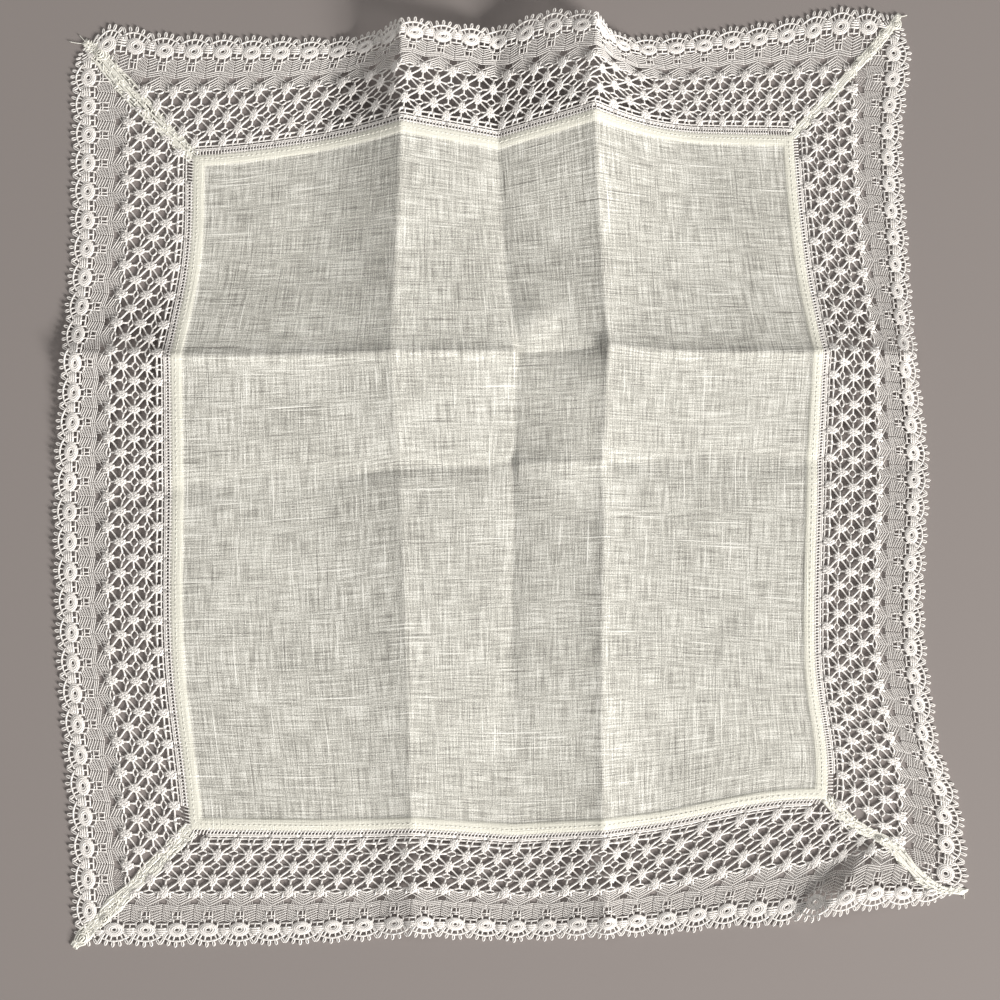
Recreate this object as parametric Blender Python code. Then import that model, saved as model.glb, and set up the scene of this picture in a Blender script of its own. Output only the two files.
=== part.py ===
"""A square linen handkerchief with a wide lace border, lying on a table with its old fold lines.

The cloth has two measures: u runs across it from the west edge and v runs down it from the
north edge, both in millimetres of flat cloth. laid(u, v) says where each point of the cloth
lies. North is +Y, east is +X, and the lowest parts of the cloth lie flat at Z = 0.

Nine pieces are sewn together: the hemmed linen middle, four strips of lace, and the four
mitre seams that join the strips at the corners.
"""

import bpy
import numpy as np

MM = 0.001

# Flat sizes, in mm.
WIDTH = 292.0
LENGTH = 310.0
LACE_WIDTH = 38.0
MITRE_WIDTH = 3.4
THICKNESS = 1.2
GAP = 0.5
SEAM_GAP = 0.7  # on each side of a mitre seam

# Where the fold lines and the hems cross the flat cloth, in mm. Creases are sharp, the rest soft.
ACROSS = {
    "W edge": 0.0,
    "W hem": 38.0,
    "W foot": 97.0,
    "W ridge": 111.0,
    "valley": 147.0,
    "E ridge": 179.0,
    "E foot": 194.0,
    "E hem": 254.0,
    "E edge": 292.0,
}
DOWN = {
    "N edge": 0.0,
    "N hem": 38.0,
    "N mid": 81.0,
    "upper crease": 115.0,
    "lower crease": 154.0,
    "S mid": 215.0,
    "S hem": 272.0,
    "S edge": 310.0,
}
CREASES_ACROSS = ("W ridge", "valley", "E ridge")
CREASES_DOWN = ("upper crease", "lower crease")

# Where each crossing lies on the table, in mm from the middle. A column for each line of ACROSS.
EAST = {
    "N edge": (-151.0, -109.5, -47.0, -38.5, -6.0, 27.5, 34.0, 97.0, 140.5),
    "N hem": (-151.0, -109.5, -51.0, -38.5, -5.5, 27.0, 41.5, 97.5, 137.0),
    "N mid": (-150.5, -110.0, -53.5, -40.0, -3.0, 29.5, 44.5, 100.5, 138.0),
    "upper crease": (-152.0, -115.0, -56.0, -41.5, 0.5, 31.0, 46.0, 105.5, 139.0),
    "lower crease": (-153.5, -114.0, -54.5, -38.5, 0.5, 30.5, 45.5, 103.5, 143.0),
    "S mid": (-150.5, -112.5, -51.0, -35.5, -1.0, 29.0, 44.0, 101.0, 140.0),
    "S hem": (-145.0, -105.5, -47.0, -33.5, -1.0, 29.0, 43.0, 104.0, 151.0),
    "S edge": (-142.5, -103.0, -45.5, -32.5, -1.0, 30.0, 44.0, 94.0, 152.0),
}
NORTH = {
    "N edge": (146.0, 146.0, 147.0, 149.0, 149.0, 151.5, 149.0, 156.0, 162.5),
    "N hem": (102.0, 102.5, 111.0, 113.0, 109.5, 118.0, 115.5, 113.5, 112.5),
    "N mid": (65.0, 65.5, 67.0, 67.5, 68.0, 70.0, 70.5, 70.5, 70.5),
    "upper crease": (33.0, 32.5, 33.5, 34.0, 35.0, 37.0, 36.0, 36.0, 36.0),
    "lower crease": (-14.5, -12.0, -6.5, -4.5, -3.0, -2.0, -2.0, -1.0, -1.0),
    "S mid": (-68.0, -68.0, -67.0, -65.5, -65.0, -64.0, -64.0, -66.5, -66.5),
    "S hem": (-122.5, -123.0, -123.5, -123.0, -125.5, -124.0, -122.5, -114.5, -122.0),
    "S edge": (-160.0, -160.5, -159.0, -158.0, -160.0, -159.0, -158.5, -154.0, -150.0),
}
HEIGHT = {
    "N edge": (0.0, 0.0, 5.0, 12.0, 5.0, 13.0, 4.5, 0.0, 0.0),
    "N hem": (0.0, 0.0, 4.0, 9.0, 4.0, 10.0, 4.5, 0.0, 0.0),
    "N mid": (0.0, 0.0, 3.0, 6.0, 2.5, 6.0, 2.5, 0.0, 0.0),
    "upper crease": (2.0, 3.0, 4.5, 6.0, 4.0, 6.0, 4.5, 3.0, 2.0),
    "lower crease": (1.0, 1.2, 1.2, 2.2, 1.0, 2.2, 1.2, 1.2, 1.0),
    "S mid": (0.5, 1.0, 1.5, 3.0, 1.0, 3.0, 1.5, 1.0, 0.5),
    "S hem": (0.0, 0.0, 0.5, 2.0, 0.0, 1.8, 0.5, 0.0, 0.0),
    "S edge": (0.0, 0.0, 0.5, 2.5, 0.0, 2.0, 0.5, 0.0, 0.0),
}
SINK = 0.5  # the cloth lies flat where its height in the table is under this
MIDDLE = (-0.8, 0.2)  # the middle of the sewn cloth's box, which becomes the origin

# Small swells and hollows: (u, v, rise, reach) in mm.
SWELLS = {
    "turned upper crease": (163.0, 115.0, -1.8, 12.0),
    "turned lower crease": (163.0, 154.0, 1.6, 12.0),
    "dimple": (155.5, 104.0, 1.2, 6.0),
}
# The south-east corner stands up behind a short fold: its line in flat mm, rise, and slopes.
FOLD_FROM = (274.0, 276.0)
FOLD_TO = (252.0, 312.0)
FOLD_RISE = 4.5
FOLD_STEEP = 7.0
FOLD_GENTLE = 26.0
# How far each sewn corner is drawn in, east and north in mm, and how far along the cloth.
CORNER_PULLS = {
    "nw": (0.0, 0.0, 4.0, -5.0),
    "ne": (WIDTH, 0.0, -4.0, -4.0),
    "se": (WIDTH, LENGTH, -1.5, 5.0),
    "sw": (0.0, LENGTH, 0.5, 0.0),
}
PULL_REACH = 8.0
BULGES = {
    "north edge by nw": (12.0, 0.0, 0.0, 3.5),
    "west edge by nw": (0.0, 13.0, -1.0, 0.0),
    "north edge between ridges": (164.0, 0.0, 0.0, 3.5),
    "north edge by ne": (268.0, 0.0, 0.0, 2.5),
    "east edge by ne": (WIDTH, 16.0, 2.0, 0.0),
    "east edge over se": (WIDTH, 245.0, -2.2, 0.0),
    "south edge at the fold": (246.0, LENGTH, 0.0, -1.5),
    "south edge by se": (270.0, LENGTH, 0.0, 1.5),
    "seam of se": (271.0, 291.0, 1.0, 5.0),
}
BULGE_REACH = 11.0

# How many parts each stretch of cloth between two lines is divided into.
PARTS_ACROSS = (6, 4, 6, 5, 4, 6)
PARTS_DOWN = (5, 5, 5, 6, 6)
PARTS_AT_END = 7
PARTS_OF_LACE = 7
PARTS_OF_MITRE = 9
STRAIGHT_FROM = 7.0  # a lace strip's cross lines are square to it from here, past the hem's corner


def line_weights(at, lines, creases):
    """How much each line's value counts at each place: cubic curves, broken at the creases."""
    places = np.array(list(lines.values()))
    names = list(lines)
    gaps = np.diff(places)
    secants = np.diff(np.eye(len(places)), axis=0) / gaps[:, None]
    before = np.vstack([secants[:1], secants])
    after = np.vstack([secants, secants[-1:]])
    for i in range(1, len(places) - 1):
        if names[i] not in creases:
            both = gaps[i] * secants[i - 1] + gaps[i - 1] * secants[i]
            before[i] = after[i] = both / (gaps[i - 1] + gaps[i])
    k = np.clip(np.searchsorted(places, at, side="right") - 1, 0, len(gaps) - 1)
    gap = gaps[k][:, None]
    s = ((at - places[k]) / gaps[k])[:, None]
    one = np.eye(len(places))
    start = (1 + 2 * s) * (1 - s) ** 2 * one[k] + s * (1 - s) ** 2 * gap * after[k]
    end = s * s * (3 - 2 * s) * one[k + 1] + s * s * (s - 1) * gap * before[k + 1]
    return start + end


def table(rows):
    return np.array([rows[name] for name in DOWN])


def smooth_step(x):
    x = np.clip(x, 0.0, 1.0)
    return x * x * (3 - 2 * x)


def corner_fold(u, v):
    """Height of the fold across the south-east corner: steep on its inner side, then gentle."""
    along = np.subtract(FOLD_TO, FOLD_FROM)
    length = np.hypot(*along)
    along = along / length
    out = np.array([-along[1], along[0]])
    if out[0] < 0:
        out = -out
    du, dv = u - FOLD_FROM[0], v - FOLD_FROM[1]
    beyond = du * out[0] + dv * out[1]
    run = (du * along[0] + dv * along[1]) / length
    steep = smooth_step(beyond / FOLD_STEEP + 0.5)
    gentle = np.clip(1 - np.maximum(beyond - FOLD_STEEP, 0.0) / FOLD_GENTLE, 0.0, 1.0)
    return FOLD_RISE * steep * gentle * smooth_step(run * 1.6 - 0.2)


def laid(u, v):
    """Where the flat cloth's point (u, v) lies: an array of x, y, z in mm."""
    u, v = np.broadcast_arrays(np.asarray(u, float), np.asarray(v, float))
    shape = u.shape
    u, v = u.ravel(), v.ravel()
    wu = line_weights(u, ACROSS, CREASES_ACROSS)
    wv = line_weights(v, DOWN, CREASES_DOWN)
    x, y, z = (np.einsum("ni,ij,nj->n", wv, table(rows), wu) for rows in (EAST, NORTH, HEIGHT))
    for su, sv, rise, reach in SWELLS.values():
        z = z + rise * np.exp(-((u - su) ** 2 + (v - sv) ** 2) / reach**2)
    z = z + corner_fold(u, v)
    for cu, cv, east, north in CORNER_PULLS.values():
        pull = np.exp(-((u - cu) ** 2 + (v - cv) ** 2) / PULL_REACH**2)
        x = x + east * pull
        y = y + north * pull
    for cu, cv, east, north in BULGES.values():
        swell = np.exp(-((u - cu) ** 2 + (v - cv) ** 2) / BULGE_REACH**2)
        x = x + east * swell
        y = y + north * swell
    z = np.maximum(z - SINK, 0.0)
    return np.stack([x - MIDDLE[0], y - MIDDLE[1], z], axis=-1).reshape(*shape, 3)


def facing(u, v):
    """The upward unit normal of the laid cloth at (u, v)."""
    step = 1.5
    across = laid(u + step, v) - laid(u - step, v)
    down = laid(u, v + step) - laid(u, v - step)
    normal = np.cross(down, across)
    return normal / np.linalg.norm(normal, axis=-1, keepdims=True)


def stations(start, end, lines, parts):
    """Places along the cloth from start to end, each stretch between two lines evenly divided."""
    marks = list(lines.values())[1:-1]
    marks[0], marks[-1] = start, end
    found = [start]
    for first, last, count in zip(marks[:-1], marks[1:], parts):
        found += [first + (last - first) * (k + 1) / count for k in range(count)]
    return found


def cloth_material(name, colour, roughness):
    material = bpy.data.materials.new(name)
    material.use_nodes = True
    shader = material.node_tree.nodes["Principled BSDF"]
    shader.inputs["Base Color"].default_value = (*colour, 1.0)
    shader.inputs["Roughness"].default_value = roughness
    shader.inputs["Metallic"].default_value = 0.0
    return material


def sheet_solid(name, u, v, material):
    """One closed solid over a grid of flat places: it lies on laid(u, v), THICKNESS deep."""
    under = laid(u, v)
    over = under + THICKNESS * facing(u, v)
    rows, columns = u.shape
    count = rows * columns
    points = np.concatenate([under.reshape(-1, 3), over.reshape(-1, 3)]) * MM
    index = np.arange(count).reshape(rows, columns)
    faces = []
    for r in range(rows - 1):
        for c in range(columns - 1):
            a, b = index[r, c], index[r, c + 1]
            d, e = index[r + 1, c], index[r + 1, c + 1]
            faces.append((a, b, e, d))
            faces.append((a + count, d + count, e + count, b + count))
    rim = [*index[0, :], *index[1:, -1], *index[-1, -2::-1], *index[-2:0:-1, 0]]
    for a, b in zip(rim, rim[1:] + rim[:1]):
        faces.append((b, a, a + count, b + count))
    mesh = bpy.data.meshes.new(name)
    mesh.from_pydata(points.tolist(), [], [tuple(map(int, face)) for face in faces])
    mesh.validate()
    obj = bpy.data.objects.new(name, mesh)
    bpy.context.scene.collection.objects.link(obj)
    obj.data.materials.append(material)
    return obj


def linen_grid():
    low, high = LACE_WIDTH + GAP / 2, GAP / 2
    u = stations(low, WIDTH - LACE_WIDTH - high, ACROSS, PARTS_ACROSS)
    v = stations(low, LENGTH - LACE_WIDTH - high, DOWN, PARTS_DOWN)
    return np.meshgrid(u, v)


def strip_grid(length, lines, parts):
    """A lace strip with mitred ends: along it, and in from its outer edge, in mm."""
    cut = (MITRE_WIDTH / 2 + SEAM_GAP) * 2**0.5
    straight = LACE_WIDTH + STRAIGHT_FROM
    middle = stations(straight, length - straight, lines, parts)
    depth = np.linspace(0.0, LACE_WIDTH - GAP / 2, PARTS_OF_LACE + 1)
    share = np.linspace(0.0, 1.0, PARTS_AT_END + 1)[:-1]
    rows = []
    for inward in depth:
        start = inward + cut
        end = [start + (straight - start) * s for s in share]
        rows.append(end + middle + [length - e for e in reversed(end)])
    along = np.array(rows)
    return along, np.repeat(depth[:, None], along.shape[1], axis=1)


def mitre_grid(side_u, side_v):
    """The seam from a cloth corner to the linen's corner, as a narrow band of flat places."""
    run = np.linspace(0.6, LACE_WIDTH - GAP, PARTS_OF_MITRE + 1)
    across = np.array([-0.5, 0.0, 0.5]) * MITRE_WIDTH / 2**0.5
    out = run[None, :] + across[:, None]
    down = run[None, :] - across[:, None]
    u = out if side_u == "w" else WIDTH - out
    v = down if side_v == "n" else LENGTH - down
    turned = (side_u == "w") != (side_v == "n")
    return (u, v) if turned else (u[::-1], v[::-1])


def build():
    for obj in list(bpy.data.objects):
        bpy.data.objects.remove(obj)
    linen = cloth_material("linen_cloth", (0.62, 0.61, 0.54), 0.9)
    lace = cloth_material("lace_thread", (0.78, 0.74, 0.70), 0.85)
    seam = cloth_material("seam_thread", (0.80, 0.78, 0.68), 0.85)

    sheet_solid("linen_panel", *linen_grid(), linen)

    along, inward = strip_grid(WIDTH, ACROSS, PARTS_ACROSS)
    sheet_solid("lace_north", along, inward, lace)
    sheet_solid("lace_south", along[::-1], LENGTH - inward[::-1], lace)
    along, inward = strip_grid(LENGTH, DOWN, PARTS_DOWN)
    sheet_solid("lace_west", inward.T, along.T, lace)
    sheet_solid("lace_east", WIDTH - inward[::-1].T, along[::-1].T, lace)

    for side_v in "ns":
        for side_u in "we":
            sheet_solid(f"mitre_{side_v}{side_u}", *mitre_grid(side_u, side_v), seam)

    points = np.concatenate(
        [[tuple(v.co) for v in obj.data.vertices] for obj in bpy.data.objects]
    )
    print("lowest", points.min(axis=0) / MM, "highest", points.max(axis=0) / MM)


build()
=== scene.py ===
# %% [markdown]
# # A linen handkerchief with a lace border
#
# The object is a square of fine linen with a narrow hem, edged with four strips of white thread
# lace that are joined by a sewn mitre at every corner. It lies on a table and still shows the
# creases of its old folds. Everything is measured on the flat cloth first, in millimetres, and
# one function then lays those flat points down on the table, creases and all. Every piece uses
# that one function, so hem, lace and seams stay together wherever the cloth bends.

import bpy
import numpy as np
from mathutils import Matrix, Vector


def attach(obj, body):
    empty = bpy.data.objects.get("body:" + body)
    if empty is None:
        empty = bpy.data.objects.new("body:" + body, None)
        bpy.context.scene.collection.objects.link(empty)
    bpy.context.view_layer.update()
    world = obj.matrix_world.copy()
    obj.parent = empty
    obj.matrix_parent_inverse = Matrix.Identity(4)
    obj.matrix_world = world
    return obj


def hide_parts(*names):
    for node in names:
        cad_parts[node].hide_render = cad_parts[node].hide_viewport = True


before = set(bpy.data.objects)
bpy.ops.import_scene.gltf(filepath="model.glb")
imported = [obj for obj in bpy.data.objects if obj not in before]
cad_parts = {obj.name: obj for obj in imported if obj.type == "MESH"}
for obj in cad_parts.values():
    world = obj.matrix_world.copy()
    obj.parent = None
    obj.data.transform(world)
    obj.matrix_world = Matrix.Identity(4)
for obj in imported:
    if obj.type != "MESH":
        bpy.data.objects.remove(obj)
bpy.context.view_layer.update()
MM = 0.001

# %% [markdown]
# ## How the cloth lies
#
# A folded cloth that is opened again keeps its creases: each one is a line where the slope of
# the cloth changes at once, while between creases it bends softly. A simulation or sculpting by
# hand could make such a cloth. Three small tables are easier to steer, and they give the same
# shape every time. EAST and NORTH say where each crossing of the lines lies on the table, and
# HEIGHT how high. A row is a line that runs east, and a column is a line that runs south. Cubic
# curves run between the crossings, and they break only at the creases.

# %% The lines on the flat cloth, and where their crossings lie
WIDTH, LENGTH, LACE = 292.0, 310.0, 38.0
ACROSS = {
    "W edge": 0.0,
    "W hem": 38.0,
    "W foot": 97.0,
    "W ridge": 111.0,
    "valley": 147.0,
    "E ridge": 179.0,
    "E foot": 194.0,
    "E hem": 254.0,
    "E edge": 292.0,
}
DOWN = {
    "N edge": 0.0,
    "N hem": 38.0,
    "N mid": 81.0,
    "upper crease": 115.0,
    "lower crease": 154.0,
    "S mid": 215.0,
    "S hem": 272.0,
    "S edge": 310.0,
}
CREASES = ("W ridge", "valley", "E ridge", "upper crease", "lower crease")
EAST = {
    "N edge": (-151.0, -109.5, -47.0, -38.5, -6.0, 27.5, 34.0, 97.0, 140.5),
    "N hem": (-151.0, -109.5, -51.0, -38.5, -5.5, 27.0, 41.5, 97.5, 137.0),
    "N mid": (-150.5, -110.0, -53.5, -40.0, -3.0, 29.5, 44.5, 100.5, 138.0),
    "upper crease": (-152.0, -115.0, -56.0, -41.5, 0.5, 31.0, 46.0, 105.5, 139.0),
    "lower crease": (-153.5, -114.0, -54.5, -38.5, 0.5, 30.5, 45.5, 103.5, 143.0),
    "S mid": (-150.5, -112.5, -51.0, -35.5, -1.0, 29.0, 44.0, 101.0, 140.0),
    "S hem": (-145.0, -105.5, -47.0, -33.5, -1.0, 29.0, 43.0, 104.0, 151.0),
    "S edge": (-142.5, -103.0, -45.5, -32.5, -1.0, 30.0, 44.0, 94.0, 152.0),
}
NORTH = {
    "N edge": (146.0, 146.0, 147.0, 149.0, 149.0, 151.5, 149.0, 156.0, 162.5),
    "N hem": (102.0, 102.5, 111.0, 113.0, 109.5, 118.0, 115.5, 113.5, 112.5),
    "N mid": (65.0, 65.5, 67.0, 67.5, 68.0, 70.0, 70.5, 70.5, 70.5),
    "upper crease": (33.0, 32.5, 33.5, 34.0, 35.0, 37.0, 36.0, 36.0, 36.0),
    "lower crease": (-14.5, -12.0, -6.5, -4.5, -3.0, -2.0, -2.0, -1.0, -1.0),
    "S mid": (-68.0, -68.0, -67.0, -65.5, -65.0, -64.0, -64.0, -66.5, -66.5),
    "S hem": (-122.5, -123.0, -123.5, -123.0, -125.5, -124.0, -122.5, -114.5, -122.0),
    "S edge": (-160.0, -160.5, -159.0, -158.0, -160.0, -159.0, -158.5, -154.0, -150.0),
}
HEIGHT = {
    "N edge": (0.0, 0.0, 5.0, 12.0, 5.0, 13.0, 4.5, 0.0, 0.0),
    "N hem": (0.0, 0.0, 4.0, 9.0, 4.0, 10.0, 4.5, 0.0, 0.0),
    "N mid": (0.0, 0.0, 3.0, 6.0, 2.5, 6.0, 2.5, 0.0, 0.0),
    "upper crease": (2.0, 3.0, 4.5, 6.0, 4.0, 6.0, 4.5, 3.0, 2.0),
    "lower crease": (1.0, 1.2, 1.2, 2.2, 1.0, 2.2, 1.2, 1.2, 1.0),
    "S mid": (0.5, 1.0, 1.5, 3.0, 1.0, 3.0, 1.5, 1.0, 0.5),
    "S hem": (0.0, 0.0, 0.5, 2.0, 0.0, 1.8, 0.5, 0.0, 0.0),
    "S edge": (0.0, 0.0, 0.5, 2.5, 0.0, 2.0, 0.5, 0.0, 0.0),
}
SINK = 0.5  # the cloth lies flat where its height in the table is under this
MIDDLE = (-0.8, 0.2)  # the middle of the sewn cloth's box, which is the origin
print("flat cloth, mm:", WIDTH, "x", LENGTH, "with lace", LACE, "wide")

# %% [markdown]
# ## Swells, pulls and pressed lines
#
# A washed and folded cloth is never quite even. Where two creases cross, it swells up or dips.
# Near the south-east corner it stands up in a short fold. The sewn corners are drawn in or out
# by their seams, and the lace edge bulges a little between them. Sharp ironing leaves a fine
# ridge or groove along each crease. Each of these is a small bump added to the smooth shape of
# the tables: it is strong at one place and fades out within a few millimetres, so it can be
# placed where it is needed and nothing else moves.

# %% Swells: place on the flat cloth, rise and reach
SWELLS = {
    "turned upper crease": (163.0, 115.0, -1.8, 12.0),
    "turned lower crease": (163.0, 154.0, 1.6, 12.0),
    "dimple": (155.5, 104.0, 1.2, 6.0),
}

# %% The fold across the south-east corner
FOLD_FROM, FOLD_TO = (274.0, 276.0), (252.0, 312.0)
FOLD_RISE = 4.5
FOLD_STEEP, FOLD_GENTLE = 7.0, 26.0  # how wide its steep side and its gentle side are
FOLD_GROWTH, FOLD_LATE = 1.6, 0.2  # how fast it rises along its line, and how late it starts

# %% Corners and edges: place on the flat cloth, and how far they are moved east and north
CORNER_PULLS = {
    "nw": (0.0, 0.0, 4.0, -5.0),
    "ne": (WIDTH, 0.0, -4.0, -4.0),
    "se": (WIDTH, LENGTH, -1.5, 5.0),
    "sw": (0.0, LENGTH, 0.5, 0.0),
}
PULL_REACH = 8.0
BULGES = {
    "north edge by nw": (12.0, 0.0, 0.0, 3.5),
    "west edge by nw": (0.0, 13.0, -1.0, 0.0),
    "north edge between ridges": (164.0, 0.0, 0.0, 3.5),
    "north edge by ne": (268.0, 0.0, 0.0, 2.5),
    "east edge by ne": (WIDTH, 16.0, 2.0, 0.0),
    "east edge over se": (WIDTH, 245.0, -2.2, 0.0),
    "south edge at the fold": (246.0, LENGTH, 0.0, -1.5),
    "south edge by se": (270.0, LENGTH, 0.0, 1.5),
    "seam of se": (271.0, 291.0, 1.0, 5.0),
}
BULGE_REACH = 11.0

# %% Pressed lines: a low sharp ridge along each crease, or a groove where it is negative
PRESSED_ACROSS = {"upper crease": 1.4, "lower crease": -1.0}
PRESSED_DOWN = {"W ridge": 0.5, "valley": -0.6, "E ridge": 0.9}
PRESSED_REACH = 3.5
CREASE_SOFTNESS = 0.4  # mm on each side of a crease that its bend is spread over


# %% Curves between the lines
def line_weights(at, lines):
    """How much each line's value counts at each place: cubic curves, broken at the creases."""
    places = np.array(list(lines.values()))
    names = list(lines)
    gaps = np.diff(places)
    secants = np.diff(np.eye(len(places)), axis=0) / gaps[:, None]
    before = np.vstack([secants[:1], secants])
    after = np.vstack([secants, secants[-1:]])
    for i in range(1, len(places) - 1):
        if names[i] not in CREASES:
            both = gaps[i] * secants[i - 1] + gaps[i - 1] * secants[i]
            before[i] = after[i] = both / (gaps[i - 1] + gaps[i])
    k = np.clip(np.searchsorted(places, at, side="right") - 1, 0, len(gaps) - 1)
    gap = gaps[k][:, None]
    s = ((at - places[k]) / gaps[k])[:, None]
    one = np.eye(len(places))
    start = (1 + 2 * s) * (1 - s) ** 2 * one[k] + s * (1 - s) ** 2 * gap * after[k]
    end = s * s * (3 - 2 * s) * one[k + 1] + s * s * (s - 1) * gap * before[k + 1]
    return start + end


def smooth_step(x):
    x = np.clip(x, 0.0, 1.0)
    return x * x * (3 - 2 * x)


def corner_fold(u, v):
    """Height of the fold across the south-east corner: steep on its inner side, then gentle."""
    along = np.subtract(FOLD_TO, FOLD_FROM)
    length = np.hypot(*along)
    along = along / length
    out = np.array([along[1], -along[0]])
    du, dv = u - FOLD_FROM[0], v - FOLD_FROM[1]
    beyond = du * out[0] + dv * out[1]
    run = (du * along[0] + dv * along[1]) / length
    steep = smooth_step(beyond / FOLD_STEEP + 0.5)
    gentle = np.clip(1 - np.maximum(beyond - FOLD_STEEP, 0.0) / FOLD_GENTLE, 0.0, 1.0)
    return FOLD_RISE * steep * gentle * smooth_step(run * FOLD_GROWTH - FOLD_LATE)


# %% From the flat cloth to the laid cloth
TABLES = [np.array([rows[name] for name in DOWN]) for rows in (EAST, NORTH, HEIGHT)]


def crisp(u, v):
    """Where the flat cloth's points lie, with sharp creases: x, y, z in mm."""
    wu, wv = line_weights(u, ACROSS), line_weights(v, DOWN)
    x, y, z = (np.sum((wv @ rows) * wu, axis=1) for rows in TABLES)
    for su, sv, rise, reach in SWELLS.values():
        z = z + rise * np.exp(-((u - su) ** 2 + (v - sv) ** 2) / reach**2)
    z = z + corner_fold(u, v)
    # between the valley and the east ridge the cloth was folded the other way round
    turned_over = np.where((u > ACROSS["valley"]) & (u < ACROSS["E ridge"]), -1.0, 1.0)
    for name, rise in PRESSED_ACROSS.items():
        z = z + turned_over * rise * np.exp(-np.abs(v - DOWN[name]) / PRESSED_REACH)
    for name, rise in PRESSED_DOWN.items():
        z = z + rise * np.exp(-np.abs(u - ACROSS[name]) / PRESSED_REACH)
    for cu, cv, east, north in CORNER_PULLS.values():
        pull = np.exp(-((u - cu) ** 2 + (v - cv) ** 2) / PULL_REACH**2)
        x, y = x + east * pull, y + north * pull
    for cu, cv, east, north in BULGES.values():
        swell = np.exp(-((u - cu) ** 2 + (v - cv) ** 2) / BULGE_REACH**2)
        x, y = x + east * swell, y + north * swell
    return np.stack([x - MIDDLE[0], y - MIDDLE[1], np.maximum(z - SINK, 0.0)], axis=-1)


def laid(u, v):
    """Where the flat cloth's points (u, v) lie, with creases a little rounded: x, y, z in mm."""
    u, v = np.broadcast_arrays(np.asarray(u, float), np.asarray(v, float))
    flat_u, flat_v = u.ravel(), v.ravel()
    soft = CREASE_SOFTNESS
    points = (
        crisp(flat_u - soft, flat_v - soft)
        + crisp(flat_u + soft, flat_v - soft)
        + crisp(flat_u - soft, flat_v + soft)
        + crisp(flat_u + soft, flat_v + soft)
    ) / 4
    return points.reshape(*u.shape, 3)


def facing(u, v):
    """The upward unit normal of the laid cloth."""
    step = 1.0
    across = laid(u + step, v) - laid(u - step, v)
    down = laid(u, v + step) - laid(u, v - step)
    normal = np.cross(down, across)
    return normal / np.linalg.norm(normal, axis=-1, keepdims=True)


print("highest point of the cloth, mm:", round(float(laid(np.arange(WIDTH), 0.0)[:, 2].max()), 1))

# %% [markdown]
# ## Threads
#
# Lace is thread and air. It could be a flat sheet with see-through holes, but then it would have
# no thickness, and its loops would have no shadow. So it is built from threads. A thread is a
# thin closed tube with three sides: it is drawn with smooth shading, and at this size nobody can
# tell it from a round one. All threads of one kind are made at once as an array, because a strip
# of lace holds thousands.

# %% Tubes from arrays of flat points
SIDES = 3


class Threads:
    """Collects threads as tubes on the laid cloth and makes one mesh of them."""

    def __init__(self, to_cloth):
        self.to_cloth = to_cloth
        self.points, self.faces, self.flat = [], [], []
        self.count = 0

    def add(self, paths, half_width, lift=0.0, closed=False, flatness=0.7, keep=None):
        """paths is (threads, points, 2) in the pattern's own measures; lift is above the cloth.

        half_width is one number, or one for each point of a path."""
        paths = np.asarray(paths, float)
        u, v = self.to_cloth(paths[..., 0], paths[..., 1])
        if keep is not None:
            inside = keep(u, v).all(axis=1)
            u, v = u[inside], v[inside]
            if np.ndim(lift) > 1:
                lift = lift[inside]
        if not len(u):
            return
        centre = laid(u, v)
        normal = facing(u, v)
        if closed:
            along = np.roll(centre, -1, axis=1) - np.roll(centre, 1, axis=1)
        else:
            along = np.gradient(centre, axis=1)
        across = np.cross(along, normal)
        across /= np.linalg.norm(across, axis=-1, keepdims=True) + 1e-9
        wide = np.broadcast_to(np.asarray(half_width, float), u.shape)[..., None]
        thick = wide * flatness
        centre = centre + normal * (np.asarray(lift)[..., None] + thick)
        angles = np.pi / 2 + np.arange(SIDES) * 2 * np.pi / SIDES
        ring = [
            centre + across * (wide * np.cos(angle)) + normal * (thick * np.sin(angle))
            for angle in angles
        ]
        ring = np.stack(ring, axis=2)
        many, length = ring.shape[:2]
        index = self.count + np.arange(many * length * SIDES).reshape(many, length, SIDES)
        nxt = np.roll(index, -1, axis=1) if closed else index[:, 1:]
        here = index if closed else index[:, :-1]
        for side in range(SIDES):
            beside = (side + 1) % SIDES
            quad = [here[..., side], nxt[..., side], nxt[..., beside], here[..., beside]]
            quad = np.stack(quad, axis=-1).reshape(-1, 4)
            self.faces.append(quad[:, [0, 1, 2]])
            self.faces.append(quad[:, [0, 2, 3]])
        if not closed:
            # the two end caps
            self.faces.append(index[:, 0])
            self.faces.append(index[:, -1, ::-1])
        self.points.append(ring.reshape(-1, 3))
        flat = np.stack([u, v, np.zeros_like(u)], axis=-1)
        self.flat.append(np.repeat(flat.reshape(-1, 3), SIDES, axis=0))
        self.count += many * length * SIDES

    def piece(self, name, material):
        points = np.concatenate(self.points) * MM
        faces = np.concatenate([f.reshape(-1, 3) for f in self.faces])
        return mesh_piece(name, points, faces, np.concatenate(self.flat), material)


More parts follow.
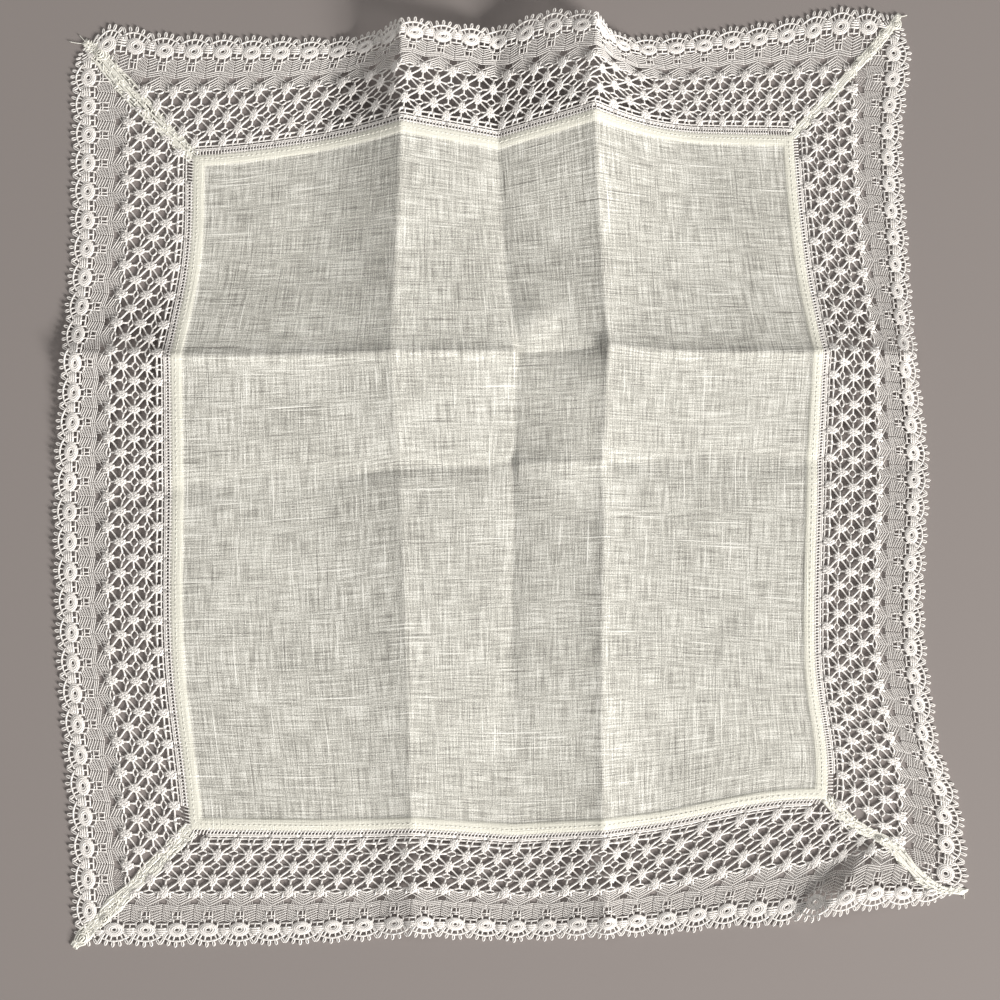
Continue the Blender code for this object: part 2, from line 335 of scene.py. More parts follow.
# %% One mesh from arrays
def mesh_piece(name, points, faces, flat, material):
    """A smooth-shaded mesh object that remembers its flat place in the attribute 'flat'."""
    mesh = bpy.data.meshes.new(name)
    corners = faces.shape[1]
    mesh.vertices.add(len(points))
    mesh.vertices.foreach_set("co", points.astype(np.float32).ravel())
    mesh.loops.add(faces.size)
    mesh.loops.foreach_set("vertex_index", faces.astype(np.int32).ravel())
    mesh.polygons.add(len(faces))
    mesh.polygons.foreach_set("loop_start", np.arange(len(faces), dtype=np.int32) * corners)
    mesh.update(calc_edges=True)
    mesh.polygons.foreach_set("use_smooth", np.ones(len(faces), bool))
    place = mesh.attributes.new("flat", "FLOAT_VECTOR", "POINT")
    place.data.foreach_set("vector", flat.astype(np.float32).ravel())
    obj = bpy.data.objects.new(name, mesh)
    bpy.context.scene.collection.objects.link(obj)
    mesh.materials.append(material)
    print(name, "triangles:", len(faces) * (corners - 2))
    return obj


# %% [markdown]
# ## Materials
#
# Linen yarn is uneven: here and there it swells into a slub, a brighter thread a few centimetres
# long, in both directions, and where a yarn is thin a darker line shows. A weave could be built
# from real threads, but the linen would need millions of them. So its colour and its tiny bumps
# come from noise that is stretched along the threads. The cotton of the lace and of the seams
# has only small flecks. Every material reads the flat place of the cloth, so the weave follows
# the folds.

# %% Node helpers
def shader_nodes(name, colour, roughness):
    material = bpy.data.materials.new(name)
    material.use_nodes = True
    nodes = material.node_tree.nodes
    shader = nodes["Principled BSDF"]
    shader.inputs["Base Color"].default_value = (*colour, 1.0)
    shader.inputs["Roughness"].default_value = roughness
    shader.inputs["Metallic"].default_value = 0.0
    shader.inputs["Specular IOR Level"].default_value = 0.25
    return material, nodes, material.node_tree.links, shader


def flat_place(nodes, links, scale):
    """The flat place of the cloth in mm, times scale = (east, south)."""
    source = nodes.new("ShaderNodeAttribute")
    source.attribute_name = "flat"
    mapping = nodes.new("ShaderNodeMapping")
    mapping.inputs["Scale"].default_value = (*scale, 1.0)
    links.new(source.outputs["Vector"], mapping.inputs["Vector"])
    return mapping.outputs["Vector"]


def noise(nodes, links, scale, size=1.0, detail=2.0):
    node = nodes.new("ShaderNodeTexNoise")
    node.inputs["Scale"].default_value = size
    node.inputs["Detail"].default_value = detail
    links.new(flat_place(nodes, links, scale), node.inputs["Vector"])
    return node.outputs["Fac"]


def math_node(nodes, links, operation, first, second=None, clamp=False):
    node = nodes.new("ShaderNodeMath")
    node.operation = operation
    node.use_clamp = clamp
    for socket, value in zip(node.inputs, (first, second)):
        if value is None:
            continue
        if isinstance(value, (int, float)):
            socket.default_value = value
        else:
            links.new(value, socket)
    return node.outputs["Value"]


def ramp(nodes, links, value, *stops):
    """A colour ramp with stops (place, (r, g, b))."""
    node = nodes.new("ShaderNodeValToRGB")
    elements = node.color_ramp.elements
    while len(elements) < len(stops):
        elements.new(0.5)
    for element, (place, colour) in zip(elements, stops):
        element.position = place
        element.color = (*colour, 1.0)
    links.new(value, node.inputs["Fac"])
    return node.outputs["Color"]


def weigh(nodes, links, value, middle, share):
    """(value - middle) * share."""
    moved = math_node(nodes, links, "SUBTRACT", value, middle)
    return math_node(nodes, links, "MULTIPLY", moved, share)


# %% Linen
# Noise per mm across a thread and along it, for each kind of thread.
FINE, SLUB_DOWN, SLUB_ACROSS = (2.1, 0.1), (1.3, 0.035), (0.03, 1.3)
THIN, GRAIN, CLOUD = (1.6, 0.03), 2.6, 0.04
SLUB_OVER, SLUB_SHARE = 0.65, 5.0  # only the top of this noise is a slub, and how bright it is
THIN_UNDER, THIN_SHARE = 0.35, 3.5  # only the bottom of this noise is a thin place
HEM_BLEND = 0.75  # how much the two extra layers of the hem hide what is below


def linen_material():
    """Slubby plain weave: fine threads both ways, longer slubs, and soft cloudy patches."""
    material, nodes, links, shader = shader_nodes("linen_weave", (0.6, 0.575, 0.5), 0.85)
    fine_down = noise(nodes, links, FINE, detail=1.0)
    fine_across = noise(nodes, links, FINE[::-1], detail=1.0)
    grain = noise(nodes, links, (GRAIN, GRAIN), detail=2.0)
    slub_down = noise(nodes, links, SLUB_DOWN, detail=1.0)
    slub_across = noise(nodes, links, SLUB_ACROSS, detail=1.0)
    thin_down = noise(nodes, links, THIN, detail=1.0)
    thin_across = noise(nodes, links, THIN[::-1], detail=1.0)
    cloud = noise(nodes, links, (CLOUD, CLOUD), detail=3.0)
    slub = math_node(nodes, links, "MAXIMUM", slub_down, slub_across)
    slub = weigh(nodes, links, slub, SLUB_OVER, SLUB_SHARE)
    slub = math_node(nodes, links, "MAXIMUM", slub, 0.0)
    thin = math_node(nodes, links, "MINIMUM", thin_down, thin_across)
    thin = weigh(nodes, links, thin, THIN_UNDER, THIN_SHARE)
    thin = math_node(nodes, links, "MINIMUM", thin, 0.0)
    mixed = math_node(nodes, links, "ADD", slub, thin)
    mixed = math_node(nodes, links, "ADD", mixed, 0.5)
    for value, share in ((fine_down, 1.2), (fine_across, 1.2), (grain, 1.7), (cloud, 0.45)):
        mixed = math_node(nodes, links, "ADD", mixed, weigh(nodes, links, value, 0.5, share))
    colour = ramp(
        nodes,
        links,
        mixed,
        (0.0, (0.27, 0.26, 0.235)),
        (0.5, (0.565, 0.55, 0.495)),
        (1.0, (0.93, 0.915, 0.85)),
    )
    hem = nodes.new("ShaderNodeAttribute")
    hem.attribute_name = "hem"
    blend = nodes.new("ShaderNodeMix")
    blend.data_type = "RGBA"
    layers = math_node(nodes, links, "MULTIPLY", hem.outputs["Fac"], HEM_BLEND)
    links.new(layers, blend.inputs[0])
    links.new(colour, blend.inputs[6])
    blend.inputs[7].default_value = (0.87, 0.85, 0.74, 1.0)
    links.new(blend.outputs[2], shader.inputs["Base Color"])
    bump = nodes.new("ShaderNodeBump")
    bump.inputs["Strength"].default_value = 0.5
    bump.inputs["Distance"].default_value = 0.0002
    links.new(mixed, bump.inputs["Height"])
    links.new(bump.outputs["Normal"], shader.inputs["Normal"])
    return material


# %% Cotton thread
def thread_material(name, dark, light):
    """White thread with small darker flecks and a fine fuzz."""
    material, nodes, links, shader = shader_nodes(name, light, 0.8)
    fleck = noise(nodes, links, (2.2, 2.2), detail=3.0)
    colour = ramp(nodes, links, fleck, (0.3, dark), (0.62, light))
    links.new(colour, shader.inputs["Base Color"])
    bump = nodes.new("ShaderNodeBump")
    bump.inputs["Strength"].default_value = 0.4
    bump.inputs["Distance"].default_value = 0.0001
    links.new(noise(nodes, links, (14.0, 14.0)), bump.inputs["Height"])
    links.new(bump.outputs["Normal"], shader.inputs["Normal"])
    return material


LINEN = linen_material()
LACE_THREAD = thread_material("lace_thread_white", (0.78, 0.74, 0.70), (0.93, 0.90, 0.87))
SEAM_THREAD = thread_material("seam_thread_cream", (0.76, 0.74, 0.66), (0.92, 0.90, 0.83))
print("materials:", [material.name for material in (LINEN, LACE_THREAD, SEAM_THREAD)])

# %% [markdown]
# ## The linen middle and its hem
#
# The middle is a thin sheet on the laid shape. Its edge is turned over twice into a hem 4 mm
# wide, which stands a little higher and casts its own soft edge, and a row of small running
# stitches holds it down. A Solidify modifier on a plane would give the sheet its thickness, but
# not the hem. So both faces of the sheet are written out, and the upper one is raised over the
# hem. The lines of the sheet are close together at hem and creases, and even between them.

# %% Lines of the linen sheet
LINEN_THICK, HEM_WIDE, HEM_RISE = 0.25, 4.0, 0.4
LINEN_OVER = 0.05  # the sheet's lower face is this much over the laid shape
HEM_STEPS = (0.0, 0.35, 1.0, 1.9, 2.8, 3.6, 4.0, 4.5, 5.2)
CREASE_STEPS = (-2.4, -1.6, -0.9, -0.4, 0.0, 0.4, 0.9, 1.6, 2.4)
EVEN_STEP, EVEN_FROM, CREASE_CLEAR = 1.6, 6.5, 3.0


def cloth_lines(start, end, lines):
    """Places across the linen: close together at hems and creases, even between them."""
    count = int((end - start - 2 * EVEN_FROM) / EVEN_STEP) + 1
    places = list(np.linspace(start + EVEN_FROM, end - EVEN_FROM, count))
    for name, at in lines.items():
        if name in CREASES:
            places = [place for place in places if abs(place - at) > CREASE_CLEAR]
            places += [at + gap for gap in CREASE_STEPS]
    steps = np.array(HEM_STEPS)
    return np.concatenate([start + steps, np.sort(places), end - steps[::-1]])


def hem_height(u, v):
    """How much higher the turned hem stands, at its inner edge a soft step."""
    inside = np.minimum(
        np.minimum(u - LACE, WIDTH - LACE - u), np.minimum(v - LACE, LENGTH - LACE - v)
    )
    rounded = np.sqrt(np.clip(inside / 0.6, 0.0, 1.0))
    return HEM_RISE * rounded * (1 - smooth_step((inside - HEM_WIDE + 0.4) / 0.8))


# %% Linen sheet
def linen_sheet():
    u, v = np.meshgrid(
        cloth_lines(LACE, WIDTH - LACE, ACROSS), cloth_lines(LACE, LENGTH - LACE, DOWN)
    )
    normal = facing(u, v)
    under = laid(u, v) + LINEN_OVER * normal
    over = under + (LINEN_THICK + hem_height(u, v))[..., None] * normal
    rows, columns = u.shape
    count = rows * columns
    index = np.arange(count).reshape(rows, columns)
    a, b, d, e = index[:-1, :-1], index[:-1, 1:], index[1:, :-1], index[1:, 1:]
    bottom = np.stack([a, b, e, d], axis=-1).reshape(-1, 4)
    top = np.stack([a, d, e, b], axis=-1).reshape(-1, 4) + count
    rim = np.array([*index[0, :], *index[1:, -1], *index[-1, -2::-1], *index[-2:0:-1, 0]])
    nxt = np.roll(rim, -1)
    walls = np.stack([nxt, rim, rim + count, nxt + count], axis=-1)
    points = np.concatenate([under.reshape(-1, 3), over.reshape(-1, 3)]) * MM
    flat = np.stack([u, v, np.zeros_like(u)], axis=-1).reshape(-1, 3)
    faces = np.concatenate([bottom, top, walls])
    sheet = mesh_piece("linen_middle", points, faces, np.concatenate([flat, flat]), LINEN)
    share = np.tile(hem_height(u, v).ravel() / HEM_RISE, 2)
    sheet.data.attributes.new("hem", "FLOAT", "POINT").data.foreach_set("value", share)
    return sheet


linen = linen_sheet()

# %% Running stitches of the hem
STITCH_LONG, STITCH_EVERY, STITCH_IN, STITCH_HALF = 1.0, 1.7, 1.9, 0.16


def hem_stitches():
    threads = Threads(lambda u, v: (u, v))
    near, far_u, far_v = LACE + STITCH_IN, WIDTH - LACE - STITCH_IN, LENGTH - LACE - STITCH_IN
    for first, last in (
        ((near, near), (far_u, near)),
        ((far_u, near), (far_u, far_v)),
        ((far_u, far_v), (near, far_v)),
        ((near, far_v), (near, near)),
    ):
        first, last = np.array(first), np.array(last)
        length = np.linalg.norm(last - first)
        way = (last - first) / length
        starts = np.arange(0.5, length - STITCH_LONG, STITCH_EVERY)
        marks = starts[:, None] + np.array([0.0, 0.25, 0.75, 1.0]) * STITCH_LONG
        paths = first + marks[..., None] * way
        lift = LINEN_THICK + HEM_RISE + np.array([-0.12, 0.03, 0.03, -0.12])
        threads.add(paths, STITCH_HALF, lift=np.broadcast_to(lift, marks.shape))
    return threads.piece("hem_stitches", SEAM_THREAD)


stitches = hem_stitches()

# %% [markdown]
# ## The lace
#
# The border is a straight lace with a repeat of about 10 mm. From its outer edge inwards it has
# a scallop with five small loops, an oval rosette with a slit, a wavy net of fine ladders, and a
# ground of spiders: small round bodies in staggered rows, joined by straight legs, with open
# diamonds between them. Modelling the whole border thread by thread would take weeks. Lace
# makers work from a chart of one repeat, so the pattern is charted once here too, in
# millimetres, and every strip repeats it. The chart is slanted a little on each strip, as the
# real lace is pulled askew by its seams.

# %% The chart: x runs along the edge from the middle of a rosette, t inwards from the loops' tips
REPEAT = 10.0
HALF = REPEAT / 2
ROSETTE_T = 6.0
SPIDER_ROWS = {
    "row 5": (5.0, 18.2),
    "row 4": (0.0, 21.9),
    "row 3": (5.0, 26.1),
    "row 2": (0.0, 30.0),
    "row 1": (5.0, 33.8),
}
# Open diamonds: middle x, middle t, half of their length along and across.
DIAMONDS = {
    "outer opening": (0.0, 17.9, 1.8, 0.75),
    "small": (5.0, 22.7, 1.4, 0.85),
    "upper": (0.0, 26.4, 1.55, 1.25),
    "lower": (5.0, 30.5, 1.6, 0.95),
}
# Lines of the upper net: t between two rosettes, slope, how near to a rosette's middle they end.
UPPER_NET = (
    (9.0, 0.32, 2.6),
    (9.8, 0.40, 2.0),
    (10.6, 0.42, 1.4),
    (11.4, 0.40, 1.3),
    (12.15, 0.36, 1.3),
    (12.8, 0.20, 0.0),
    (13.4, 0.20, 0.0),
    (14.0, 0.19, 0.0),
)
# Lines of the lower net, nearest to the edge at each rosette: t there, slope, and their reach.
LOWER_NET = (
    (13.6, 0.50, 5.0),
    (14.45, 0.52, 5.0),
    (15.25, 0.52, 4.2),
    (16.1, 0.46, 3.2),
    (16.95, 0.24, 2.2),
)
RUNGS, RUNG_LEAN = 20, 0.3  # fine rungs in a repeat, and how far each leans
WAIST_REACH = 4.0  # rungs between the two nets end this far from a rosette's middle
RUNG_REACHES = (3.6, 3.4, 2.5, 1.6)  # and so do those between the lines of the lower net


def bar(x0, t0, x1, t1, points=4):
    share = np.linspace(0.0, 1.0, points)[:, None]
    return np.array([x0, t0]) + share * (np.array([x1, t1]) - np.array([x0, t0]))


def oval(x, t, along, across, points, pointed=0.0):
    """A ring; with pointed above 0 its two ends along the edge are drawn out like an eye's."""
    angle = np.arange(points) * 2 * np.pi / points
    up = np.sin(angle) * np.abs(np.sin(angle)) ** pointed
    return np.stack([x + along * np.cos(angle), t + across * up], axis=-1)


def scallop(x):
    """The t of the thread that carries the loops: a round arch over each rosette."""
    return 2.35 + 1.7 * (np.abs(x) / HALF) ** 2.0


# %% Outer edge: loops, scallop, bars and rosette
# Loops: middle x, how much they lean, how tall they are.
LOOPS = (
    (-4.15, -0.5, 1.0),
    (-2.35, -0.2, 0.8),
    (-0.3, 0.0, 0.85),
    (1.7, 0.2, 0.8),
    (3.55, 0.45, 0.8),
)


def edge_part():
    """Lists of (paths, half width, lift, closed)."""
    parts = []
    loops = []
    for x, lean, tall in LOOPS:
        loop = oval(0.0, 0.0, 0.4, tall, 8)
        loop[:, 0] += x - lean * loop[:, 1] / tall + lean
        loop[:, 1] += scallop(x) - tall - 0.15
        loops.append(loop)
    parts.append((loops, 0.25, 0.05, True))
    x = np.linspace(-4.75, 4.75, 15)
    parts.append(([np.stack([x, scallop(x)], axis=-1)], 0.36, 0.0, False))
    bars = []
    for angle in np.radians((-86, -66, -42, -15, 15, 42, 66, 86)):
        outer = 4.3 * np.sin(angle)
        inner = (3.0 * np.sin(angle), ROSETTE_T - 2.0 * np.cos(angle))
        bars.append(bar(outer, scallop(outer), *inner))
    parts.append((bars, 0.32, 0.0, False))
    for along, across, half_width, lift, points in (
        (0.95, 0.72, 0.4, 0.02, 12),
        (1.7, 1.2, 0.45, 0.1, 14),
        (2.4, 1.6, 0.45, 0.06, 16),
        (3.05, 1.95, 0.4, 0.0, 18),
    ):
        ring = oval(0, ROSETTE_T, along, across, points, 0.25)
        parts.append(([ring], half_width, lift, True))
    # close stitches over the rings
    spokes = []
    for number, angle in enumerate(np.arange(24) * 2 * np.pi / 24 + 0.13):
        reach = 1.0 + 0.07 * (-1) ** number
        way = np.array([3.2 * np.cos(angle), 2.1 * np.sin(angle)])
        middle = np.array([0.0, ROSETTE_T])
        spokes.append(bar(*(middle + 0.42 * way), *(middle + reach * way), 3))
    parts.append((spokes, 0.17, 0.34, False))
    rows = ((0.75, 4.3), (1.35, 4.85), (1.9, 5.5), (1.7, 6.2))
    crossings = [bar(HALF - w, t, HALF + w, t + 0.15) for w, t in rows]
    parts.append((crossings, 0.4, 0.0, False))
    # the short ladder between two rosettes
    stems = [bar(HALF, 4.0, HALF, 8.1)]
    stems += [bar(HALF + s * 2.15, 6.2, HALF + s * 1.9, 8.5) for s in (-1, 1)]
    parts.append((stems, 0.3, 0.02, False))
    parts.append(([bar(HALF - 2.0, 7.8, HALF + 2.0, 7.8)], 0.28, 0.0, False))
    feet = [bar(x, 7.9 - 0.12 * abs(x), x * 1.05, 9.5) for x in (-1.1, 1.1)]
    parts.append((feet, 0.3, 0.0, False))
    return parts


# %% Wavy net: lines and fine rungs
def from_rosette(x):
    """How far x is from the middle of the nearest rosette."""
    return np.abs((x + HALF) % REPEAT - HALF)


def upper_line(line, x):
    """The t of a line of the upper net, which bends inwards half way between two rosettes."""
    between, slope, _ = line
    return between - slope * (HALF - from_rosette(x))


def lower_line(line, x):
    return line[0] + line[1] * from_rosette(x)


def net_part():
    parts, rungs, halves, whole, lower = [], [], [], [], []
    for line in UPPER_NET:
        for side in (-1, 1):
            x = side * np.linspace(line[2], HALF, 8)
            (halves if line[2] else whole).append(np.stack([x, upper_line(line, x)], axis=-1))
    parts.append((halves, 0.155, 0.0, False))
    parts.append((whole, 0.155, 0.03, False))
    for line in LOWER_NET:
        x = np.linspace(-line[2], line[2], 11)
        lower.append(np.stack([x, lower_line(line, x)], axis=-1))
    parts.append((lower, 0.175, 0.0, False))
    places = (np.arange(RUNGS) + 0.5) * REPEAT / RUNGS - HALF
    lean = RUNG_LEAN * np.sign(places)
    for outer, inner in zip(UPPER_NET[:-1], UPPER_NET[1:]):
        for x, foot in zip(places, places - lean):
            if abs(foot) >= inner[2] - 0.3 and abs(x) >= outer[2] - 0.1:
                rungs.append(bar(x, upper_line(outer, x), foot, upper_line(inner, foot), 2))
    waist = UPPER_NET[-1]
    for x, foot in zip(places, places - lean):
        if abs(x) < WAIST_REACH:
            rungs.append(bar(x, upper_line(waist, x), foot, lower_line(LOWER_NET[0], foot), 2))
        for outer, inner, reach in zip(LOWER_NET[:-1], LOWER_NET[1:], RUNG_REACHES):
            if abs(x) < reach:
                rungs.append(bar(x, lower_line(outer, x), foot, lower_line(inner, foot), 2))
    parts.append((rungs, 0.08, 0.02, False))
    # threads beside the holes under each rosette
    sides = [bar(-1.6, 8.6, -1.55, 12.1), bar(0.1, 9.4, 0.1, 12.1), bar(1.15, 8.6, 1.1, 12.1)]
    sides += [bar(-2.6, 9.35, -1.2, 9.35), bar(-0.6, 9.45, 0.8, 9.45), bar(1.1, 9.2, 2.4, 9.0)]
    sides += [bar(-1.6, 10.15, 1.1, 10.2)]
    parts.append((sides, 0.22, 0.0, False))
    return parts


# %% Ground of spiders and diamonds, and the foot of the lace
# Half widths along a leg and an arm: thread spreads where it is knotted.
LEG_WIDE = np.array([0.62, 0.35, 0.35, 0.62])
ARM_WIDE = np.array([0.42, 0.33, 0.37, 0.6])


def diamond(x, t, along, across):
    """A ring of four sides that bow out a little."""
    corners = oval(x, t, along, across, 8)
    sides = (np.roll(corners[::2], -1, axis=0) + corners[::2]) / 2
    corners[1::2] = sides + 0.22 * (sides - np.array([x, t]))
    return corners


def spider_part():
    """Knotted bodies; their legs run to the next row, and their arms to the diamonds."""
    inner, outer, spokes, legs, arms = [], [], [], [], []
    rows = list(SPIDER_ROWS.values())
    for x, t in rows:
        inner.append(oval(x, t, 0.5, 0.75, 8))
        outer.append(oval(x, t, 1.05, 1.5, 10))
        for angle in np.arange(8) * np.pi / 4 + np.pi / 8:
            way = np.array([np.cos(angle), 1.3 * np.sin(angle)])
            middle = np.array([x, t])
            spokes.append(bar(*(middle + 0.4 * way), *(middle + 1.6 * way), 3))
    for (x, t), (_, next_t) in zip(rows[:-1], rows[1:]):
        for side in (-HALF, HALF):
            legs.append(bar(x, t, x + side, next_t))
    for x, t, along, across in DIAMONDS.values():
        for spider_x, spider_t in rows:
            if spider_x != x and abs(spider_t - t) < 1.3:
                for side in (-1, 1):
                    arms.append(bar(x + side * along, t, x + side * HALF, spider_t))
            if spider_x == x and abs(spider_t - t) < 6.0:
                way = 1 if spider_t > t else -1
                arms.append(bar(x, t + way * across, x, spider_t))
    # from the net to the outermost spiders
    arms += [bar(HALF, 16.1, HALF, 18.2), bar(3.7, 16.6, 4.6, 18.0), bar(6.3, 16.6, 5.4, 18.0)]
    arms += [bar(2.9, 16.2, 3.3, 17.9), bar(7.1, 16.2, 6.7, 17.9)]
    # from the innermost spiders to the foot
    legs += [bar(HALF, 33.8, 0.0, 33.6), bar(HALF, 33.8, REPEAT, 33.6)]
    arms += [bar(0.0, 33.6, 0.0, 30.0), bar(0.8, 35.2, 0.6, 33.7), bar(-1.1, 35.2, -0.8, 33.7)]
    arms += [bar(HALF + 1.6 * s, 35.2, HALF + s, 33.8) for s in (-0.8, 0.0, 0.8)]
    arms += [bar(x * 2.6, 32.2, x, 30.3) for x in (-1.0, 1.0)]
    x = np.linspace(-HALF, HALF, 9)
    foot = [np.stack([x, np.full_like(x, 35.25)], axis=-1)]
    slants = [bar(x, 35.2, x + 0.8, 36.3) for x in (np.arange(4) + 0.5) * REPEAT / 4 - HALF]
    cords = [np.stack([x, np.full_like(x, t)], axis=-1) for t in (36.2, 36.7, 37.85)]
    whips = [bar(x, 36.6, x + 0.4, 38.6) for x in np.arange(9) * REPEAT / 9 - HALF]
    return [
        (inner, 0.5, 0.1, True),
        (outer, 0.45, 0.05, True),
        (spokes, 0.26, 0.4, False),
        (legs, LEG_WIDE, 0.0, False),
        (arms, ARM_WIDE, 0.0, False),
        ([diamond(*shape) for shape in DIAMONDS.values()], 0.33, 0.0, True),
        (foot, 0.3, 0.0, False),
        (slants, 0.26, 0.0, False),
        (cords, 0.36, 0.05, False),
        (whips, 0.24, 0.3, False),
    ]


CHART = edge_part() + net_part() + spider_part()
print("threads in one repeat:", sum(len(paths) for paths, *_ in CHART))

# %% Strips: repeats, the first and last rosette from the corners, slant of the pattern, its bend
STRIPS = {
    "north": (WIDTH, 29, 11.0, 13.6, -0.38, 1.0),
    "west": (LENGTH, 29, 17.0, 12.0, 0.13, 1.0),
    "south": (WIDTH, 28, 13.7, 13.0, 0.50, 1.5),
    "east": (LENGTH, 30, 15.7, 18.6, -0.28, 1.0),
}
FIRST_ROW_T = 33.8
THREAD_PLUMP = 1.16  # soft thread spreads to this much more than the chart's width
LACE_UNDER_SEAM = 0.9  # how far from the mitre line the lace is cut, mm along the strip


def to_flat(side, along, inward):
    if side == "north":
        return along, inward
    if side == "south":
        return along, LENGTH - inward
    if side == "west":
        return inward, along
    return WIDTH - inward, along


def pattern_places(side):
    """A function that turns the chart's (x, t) into flat (u, v): repeats are even as laid."""
    length, count, first, last, slant, bend = STRIPS[side]
    marks = np.linspace(0.0, length, 400)
    points = laid(*to_flat(side, marks, np.full_like(marks, ROSETTE_T)))
    arc = np.concatenate([[0.0], np.cumsum(np.linalg.norm(np.diff(points, axis=0), axis=1))])
    pitch = (arc[-1] - first - last) / (count - 1)
    print(side, "strip: repeats", count, "of", round(pitch, 2), "mm")

    def place(x, t):
        inward = (t - ROSETTE_T) / (FIRST_ROW_T - ROSETTE_T)
        turn = x / REPEAT + slant * np.sign(inward) * np.abs(inward) ** bend
        at = first + turn * pitch
        along = np.interp(at, arc, marks)
        along = along + np.minimum(at, 0.0) + np.maximum(at - arc[-1], 0.0)
        return to_flat(side, along, t)

    return place


# %% The four strips
def lace_strip(side):
    length, count = STRIPS[side][:2]
    threads = Threads(pattern_places(side))

    def keep(u, v):
        along, inward = (u, v) if side in ("north", "south") else (v, u)
        if side == "south":
            inward = LENGTH - v
        if side == "east":
            inward = WIDTH - u
        room = np.minimum(along, length - along)
        return room > np.maximum(inward, 0.0) + LACE_UNDER_SEAM

    shifts = np.arange(-4, count + 4) * REPEAT
    for paths, half_width, lift, closed in CHART:
        paths = np.array(paths)
        many = paths[None] + np.stack([shifts, np.zeros_like(shifts)], axis=-1)[:, None, None]
        many = many.reshape(-1, *paths.shape[1:])
        threads.add(many, half_width * THREAD_PLUMP, lift=lift, closed=closed, keep=keep)
    return threads.piece("lace_" + side + "_strip", LACE_THREAD)


strips = {side: lace_strip(side) for side in STRIPS}

# %% [markdown]
# ## The mitre seams
#
# At each corner the two strips are cut on the slant, turned under and whipped together. The
# seam is a firm narrow band of close stitches over the turned edges, lumpy where the lace was
# bunched up, and its thread ends are left as short loose tails. One flat strip with a stitch
# texture would look machine made. So the turned edges are uneven cords, and many short darning
# stitches cross them. They are placed by chance, with a fixed seed for each corner, so that the
# seams look alike but not the same.

# %% Seams
SEAM_HALF = {"nw": 2.4, "ne": 1.4, "se": 2.0, "sw": 2.2}
SEAM_TIP, SEAM_TAPER = 0.45, 9.0  # share of its width at the outer tip, and where it is full
SEAM_CORDS = 9
DARNS = 190  # short stitches over the cords
DARN_SPREAD = 0.75  # how much their directions differ, in radians
# Loose thread ends: points (along the seam, across it).
TAILS = {
    "nw": (((0.6, -0.5), (-0.4, -1.6), (-1.5, -3.0)), ((0.6, 0.2), (-0.4, 0.3), (-1.3, 0.4))),
    "ne": (((1.2, 0.0), (0.4, -0.9), (-0.4, -1.9)),),
    "se": (((1.0, 0.3), (0.0, 1.0), (-0.6, 2.0)),),
    "sw": (),
}
# Knots where the two edges were bunched together: place along the seam, across it, half size.
KNOTS = {
    "nw": ((8.5, 0.4, 1.5),),
    "ne": ((3.2, -0.8, 1.5), (8.0, 0.5, 1.2), (12.5, -0.2, 1.1), (17.0, 0.3, 1.0), (24.0, 0.2, 0.8)),
    "se": ((22.0, 0.0, 1.2),),
    "sw": ((3.2, 0.0, 1.9), (10.0, 1.0, 1.4)),
}


# %% The four mitre seams
def uneven(chance, count, size):
    """Smoothly varying random values."""
    return size * np.convolve(chance.normal(0, 1, count + 4), np.ones(5) / 5, "valid")


def mitre_seam(corner):
    east, south = corner[1] == "e", corner[0] == "s"
    half = SEAM_HALF[corner]
    chance = np.random.default_rng(list(SEAM_HALF).index(corner) + 3)

    def place(out, side):
        """out is how far in along the seam's slant, side is across it, in flat mm."""
        u, v = out + side / 2**0.5, out - side / 2**0.5
        return (WIDTH - u if east else u), (LENGTH - v if south else v)

    threads = Threads(place)
    run = np.linspace(0.4, LACE + 0.8, 44)
    # turned edges, as uneven cords side by side
    taper = np.interp(run, (0.0, SEAM_TAPER), (SEAM_TIP, 1.0))
    swell = taper + uneven(chance, len(run), 0.3)
    for side in np.linspace(-1.0, 1.0, SEAM_CORDS):
        across = side * (half - 0.3) * swell + uneven(chance, len(run), 0.35)
        wide = np.maximum(0.5 + uneven(chance, len(run), 0.15), 0.3)
        lift = chance.uniform(0, 0.12)
        threads.add([np.stack([run, across], axis=-1)], wide, lift=lift, flatness=0.45)
    # darning stitches over them, no two alike
    middle = chance.uniform(0.8, LACE + 0.4, DARNS)
    offset = half * chance.uniform(-0.95, 0.95, DARNS)
    offset *= np.interp(middle, (0.0, SEAM_TAPER), (SEAM_TIP, 1.0))
    angle = chance.normal(np.pi / 2, DARN_SPREAD, DARNS)
    length = chance.uniform(0.7, 1.9, DARNS)
    share = np.linspace(-0.5, 0.5, 4) * length[:, None]
    out = middle[:, None] + share * np.cos(angle)[:, None]
    across = offset[:, None] + share * np.sin(angle)[:, None]
    rise = 0.22 + np.array([-0.2, 0.06, 0.06, -0.2]) + chance.uniform(0, 0.14, (DARNS, 1))
    wide = np.broadcast_to(chance.uniform(0.16, 0.32, (DARNS, 1)), rise.shape)
    threads.add(np.stack([out, across], axis=-1), wide, lift=rise, flatness=0.55)
    # knots, each of three rings on top of each other
    for along, off, size in KNOTS[corner]:
        for share, lift in ((0.95, 0.1), (0.6, 0.35), (0.25, 0.5)):
            ring = oval(along, off, 1.15 * size * share, size * share, 10)
            ring += chance.normal(0, 0.12, ring.shape)
            threads.add([ring], 0.42, lift=lift, closed=True)
    for tail in TAILS[corner]:
        bends = np.array(tail)
        share = np.linspace(0, 2, 9)
        path = [np.interp(share, (0, 1, 2), bends[:, axis]) for axis in (0, 1)]
        threads.add([np.stack(path, axis=-1)], 0.2, lift=0.15)
    return threads.piece("mitre_seam_" + corner, SEAM_THREAD)


seams = {corner: mitre_seam(corner) for corner in CORNER_PULLS}

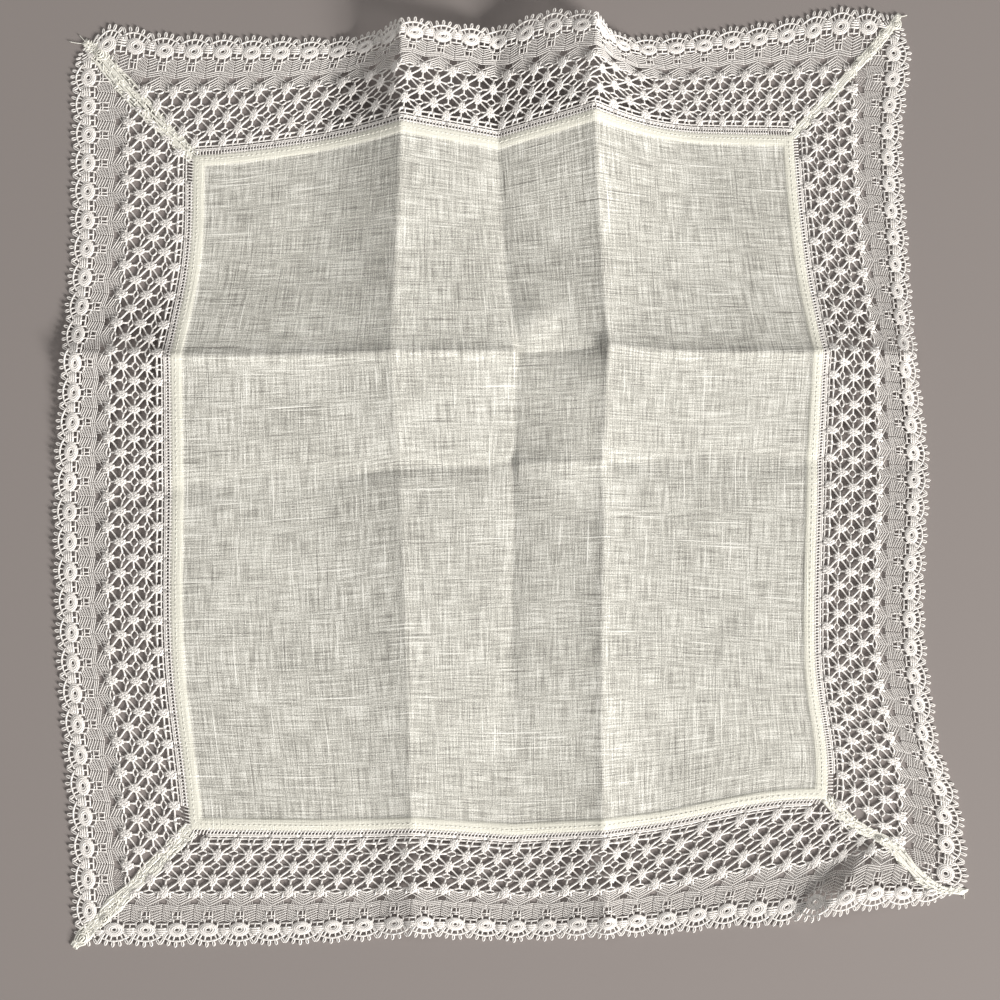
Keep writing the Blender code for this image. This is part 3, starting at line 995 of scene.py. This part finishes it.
# %% [markdown]
# ## Tying the pieces to the solid model
#
# The same handkerchief also exists as nine plain solids: the linen, four strips and four seams.
# Each piece takes the place of its solid. The cloth has no joints, so all of it rides on the one
# body. A lace strip is a long piece whose two ends are cut on the slant.

# %% Bodies
for piece in (linen, stitches, *strips.values(), *seams.values()):
    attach(piece, "root")
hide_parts("linen_panel")
for side, piece in strips.items():
    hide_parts("lace_" + side)
for corner, piece in seams.items():
    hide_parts("mitre_" + corner)

# %% [markdown]
# ## Table, light and camera
#
# White lace needs a ground that is darker than itself, or its holes don't show. A plain grey
# floor does that without drawing the eye. The main light is a large soft lamp low in the
# south-east: light that grazes the cloth draws every crease, where light from above would hide
# them. A weak lamp from above and an even sky keep the shadows open. The camera stands half a
# metre over the cloth and looks down at it from a little to the south-west.

# %% Table
TABLE_HALF, TABLE_DROP = 1.5, 0.0002  # m


def plain_floor():
    mesh = bpy.data.meshes.new("table_top")
    half = TABLE_HALF
    corners = [(-half, -half, 0), (half, -half, 0), (half, half, 0), (-half, half, 0)]
    mesh.from_pydata(corners, [], [(0, 1, 2, 3)])
    obj = bpy.data.objects.new("table_top", mesh)
    bpy.context.scene.collection.objects.link(obj)
    material, _, _, _ = shader_nodes("table_grey", (0.27, 0.24, 0.228), 0.9)
    mesh.materials.append(material)
    obj.location.z = -TABLE_DROP


plain_floor()

# %% Light
def soft_lamp(name, place, size, power, colour=(1.0, 0.98, 0.95)):
    lamp = bpy.data.lights.new(name, "AREA")
    lamp.shape = "SQUARE"
    lamp.size = size
    lamp.energy = power
    lamp.color = colour
    obj = bpy.data.objects.new(name, lamp)
    bpy.context.scene.collection.objects.link(obj)
    obj.location = place
    obj.rotation_euler = (-Vector(place)).to_track_quat("-Z", "Y").to_euler()


soft_lamp("main_lamp", (1.52, -1.36, 0.88), 0.72, 90.0)
soft_lamp("fill_lamp", (-0.5, 0.4, 1.3), 1.2, 5.0)
bpy.context.scene.view_settings.view_transform = "Standard"
world = bpy.data.worlds.new("studio")
world.use_nodes = True
sky = world.node_tree.nodes["Background"]
sky.inputs["Color"].default_value = (1.0, 1.0, 1.0, 1.0)
sky.inputs["Strength"].default_value = 0.2
bpy.context.scene.world = world

# %% Camera
CAMERA_AT = Vector((-0.0301, -0.0672, 0.4966))
CAMERA_TO = Vector((-0.0039, -0.015, 0.0))
camera = bpy.data.cameras.new("camera")
camera.lens = 53.64
camera.sensor_width = 36.0
eye = bpy.data.objects.new("camera", camera)
bpy.context.scene.collection.objects.link(eye)
ahead = (CAMERA_TO - CAMERA_AT).normalized()
right = ahead.cross(Vector((0.0, 1.0, 0.0))).normalized()
above = right.cross(ahead)
eye.matrix_world = Matrix((right, above, -ahead)).transposed().to_4x4()
eye.location = CAMERA_AT
bpy.context.scene.camera = eye
